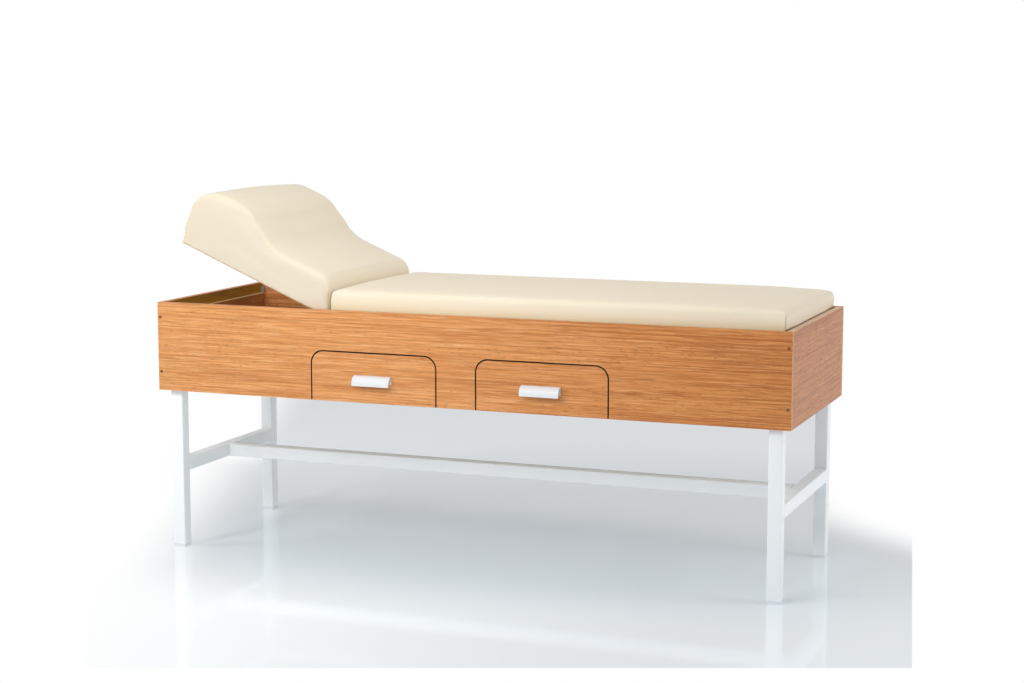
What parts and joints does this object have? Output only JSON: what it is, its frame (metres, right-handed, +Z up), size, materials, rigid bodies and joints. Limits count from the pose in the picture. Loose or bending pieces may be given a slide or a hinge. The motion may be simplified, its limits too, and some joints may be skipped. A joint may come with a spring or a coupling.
{
  "type": "spa bed with cabinet base",
  "caption": "Upholstered couch with a lifting headrest on a boxed wooden cabinet with drawers under a white square-tube frame.",
  "frame": {"origin": "on the floor, under the middle of the whole bed's outline", "axes": "+X towards the foot end, +Y towards the rear (the drawers face -Y), +Z up"},
  "size_m": [1.9, 0.652, 1.0639],
  "materials": {
    "bamboo_panel": "satin",
    "bamboo_inner": "matte",
    "plywood": "matte",
    "white_steel": "satin",
    "white_cap": "satin",
    "grey_block": "matte",
    "cream_vinyl": "satin",
    "zinc_steel": "satin",
    "buffer_rubber": "matte"
  },
  "bodies": {
    "cabinet": {"leg_head_front": "white_steel", "leg_head_rear": "white_steel", "leg_foot_front": "white_steel", "leg_foot_rear": "white_steel", "foot_caps": "white_cap", "end_rail_head": "white_steel", "end_rail_foot": "white_steel", "centre_stretcher": "white_steel", "top_rail_front": "white_steel", "top_rail_rear": "white_steel", "top_rail_head": "white_steel", "top_rail_foot": "white_steel", "front_panel": "bamboo_panel", "rear_panel": "bamboo_panel", "head_panel": "bamboo_panel", "foot_panel": "bamboo_panel", "floor_board": "plywood", "cleat_front": "bamboo_inner", "cleat_rear": "bamboo_inner", "cleat_head": "bamboo_inner", "cleat_foot": "bamboo_inner", "drawer_1_partitions": "plywood", "drawer_2_partitions": "plywood", "hinge_rail": "bamboo_inner", "corner_plugs": "bamboo_panel", "corner_screws": "zinc_steel", "floor_screws": "zinc_steel", "corner_blocks": "grey_block", "rest_buffers": "buffer_rubber", "body_board": "plywood", "body_pad": "cream_vinyl", "hinge_leaf_fixed": "zinc_steel", "hinge_pin": "zinc_steel", "stay_foot": "zinc_steel", "drawer_1_outer_slides": "zinc_steel", "drawer_2_outer_slides": "zinc_steel"},
    "headrest": {"hinge_leaf_moving": "zinc_steel", "head_board": "plywood", "head_pad": "cream_vinyl", "stay_bracket": "zinc_steel"},
    "stay_lower": {"stay_sleeve": "zinc_steel"},
    "stay_upper": {"stay_bar": "zinc_steel"},
    "drawer_1": {"drawer_1_front": "bamboo_panel", "drawer_1_sides": "plywood", "drawer_1_back": "plywood", "drawer_1_bottom": "plywood", "drawer_1_pull": "white_steel", "drawer_1_pull_screws": "zinc_steel", "drawer_1_inner_slides": "zinc_steel"},
    "drawer_1_slides": {"drawer_1_middle_slides": "zinc_steel"},
    "drawer_2": {"drawer_2_front": "bamboo_panel", "drawer_2_sides": "plywood", "drawer_2_back": "plywood", "drawer_2_bottom": "plywood", "drawer_2_pull": "white_steel", "drawer_2_pull_screws": "zinc_steel", "drawer_2_inner_slides": "zinc_steel"},
    "drawer_2_slides": {"drawer_2_middle_slides": "zinc_steel"}
  },
  "joints": [
    {"name": "headrest_tilt", "type": "hinge", "parent": "cabinet", "child": "headrest", "pos_m": [-0.3995, 0.011, 0.7064], "axis": [0, 1, 0], "range_deg": [-23.11, 0]},
    {"name": "stay_turn", "type": "hinge", "parent": "cabinet", "child": "stay_lower", "pos_m": [-0.56237, 0.011, 0.544], "axis": [0, 1, 0], "range_deg": [-11.61, 0]},
    {"name": "stay_reach", "type": "slide", "parent": "stay_lower", "child": "stay_upper", "axis": [-0.2275, 0, 0.9738], "range_m": [-0.083, 0]},
    {"name": "drawer_1_slide", "type": "slide", "parent": "cabinet", "child": "drawer_1", "axis": [0, -1, 0], "range_m": [0, 0.4]},
    {"name": "drawer_1_slides_run", "type": "slide", "parent": "cabinet", "child": "drawer_1_slides", "axis": [0, -1, 0], "range_m": [0, 0.2]},
    {"name": "drawer_2_slide", "type": "slide", "parent": "cabinet", "child": "drawer_2", "axis": [0, -1, 0], "range_m": [0, 0.4]},
    {"name": "drawer_2_slides_run", "type": "slide", "parent": "cabinet", "child": "drawer_2_slides", "axis": [0, -1, 0], "range_m": [0, 0.2]}
  ],
  "couplings": [
    {"joint": "stay_turn", "follows": "headrest_tilt", "ratio": 0.5},
    {"joint": "stay_reach", "follows": "headrest_tilt", "m_per_rad": 0.204},
    {"joint": "drawer_1_slides_run", "follows": "drawer_1_slide", "ratio": 0.5},
    {"joint": "drawer_2_slides_run", "follows": "drawer_2_slide", "ratio": 0.5}
  ]
}
